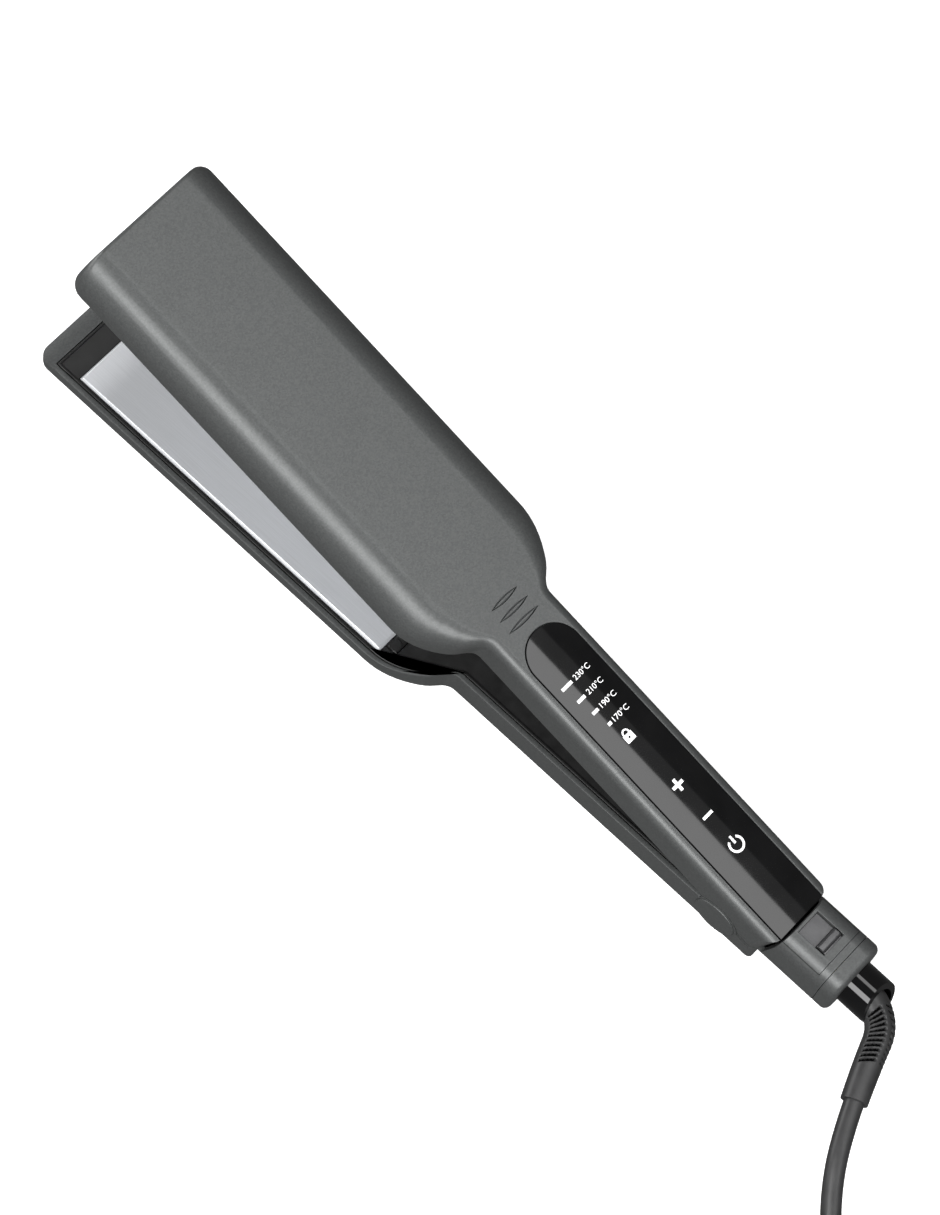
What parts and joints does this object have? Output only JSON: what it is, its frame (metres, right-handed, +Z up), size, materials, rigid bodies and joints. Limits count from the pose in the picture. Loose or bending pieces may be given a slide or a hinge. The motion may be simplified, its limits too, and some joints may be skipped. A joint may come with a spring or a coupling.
{
  "type": "flat iron",
  "caption": "Hair straightener with wide heated plates on hinged, spring-opened arms, a touch panel, a slide lock and a swivelling cord with a plug.",
  "frame": {"origin": "middle of the iron's length and width without its cord, on the resting plane", "axes": "+X from the hinge to the plates' tip along the lower arm, +Y to the left, +Z up"},
  "size_m": [0.4563, 0.1211, 0.0861],
  "materials": {
    "graphite": "matte metallic graphite",
    "black_plastic": "satin black",
    "gloss_black": "glossy black",
    "ceramic_plate": "silver ceramic coating, satin gloss",
    "heat_plastic": "heat-proof moulding",
    "ceramic_heater": "matte white",
    "mica": "mica sheet",
    "steel": "plain",
    "spring_steel": "bright",
    "board": "solder mask",
    "components": "moulded",
    "clear": "frosted light guide",
    "wire": "silicone insulation",
    "rubber": "matt",
    "brass": "bright"
  },
  "bodies": {
    "lower_arm": {"lower_casing": "graphite", "tail_cover": "graphite", "rear_collar": "graphite", "lower_liner": "black_plastic", "lower_plate": "ceramic_plate", "lower_end_bar": "black_plastic", "lower_plate_holder": "heat_plastic", "lower_heater": "ceramic_heater", "lower_mica": "mica", "lower_thermistor": "clear", "thermal_fuse": "steel", "hinge_pin": "steel", "hinge_cap_left": "graphite", "hinge_cap_right": "graphite", "opening_spring": "spring_steel", "lower_leads": "wire", "lower_screws": "steel", "lock_track": "gloss_black", "swivel_retainer": "black_plastic"},
    "upper_arm": {"upper_casing": "graphite", "upper_liner": "black_plastic", "upper_plate": "ceramic_plate", "upper_end_bar": "black_plastic", "upper_plate_holder": "heat_plastic", "upper_heater": "ceramic_heater", "upper_mica": "mica", "upper_thermistor": "clear", "control_panel": "gloss_black", "control_board": "board", "board_components": "components", "light_guide": "clear", "touch_pads": "spring_steel", "upper_leads": "wire", "upper_screws": "steel"},
    "lock": {"lock_slider": "gloss_black"},
    "swivel": {"swivel_sleeve": "gloss_black", "swivel_drum": "brass", "strain_relief": "rubber", "cord": "rubber", "cord_coil": "rubber", "cord_tail": "rubber", "plug_body": "rubber", "plug_blades": "brass"}
  },
  "joints": [
    {"name": "arm_hinge", "type": "hinge", "parent": "lower_arm", "child": "upper_arm", "pos_m": [-0.09955, 0, 0.0094], "axis": [0, 1, 0], "range_deg": [0, 13.8], "stiffness_Nm_per_rad": 1.5, "springref_deg": -20.05, "deforming": ["opening_spring"]},
    {"name": "lock_slide", "type": "slide", "parent": "lower_arm", "child": "lock", "axis": [1, 0, 0], "range_m": [0, 0.0045]},
    {"name": "cord_swivel", "type": "hinge", "parent": "lower_arm", "child": "swivel", "pos_m": [-0.14005, 0, 0.0134], "axis": [1, 0, 0], "continuous": true}
  ]
}
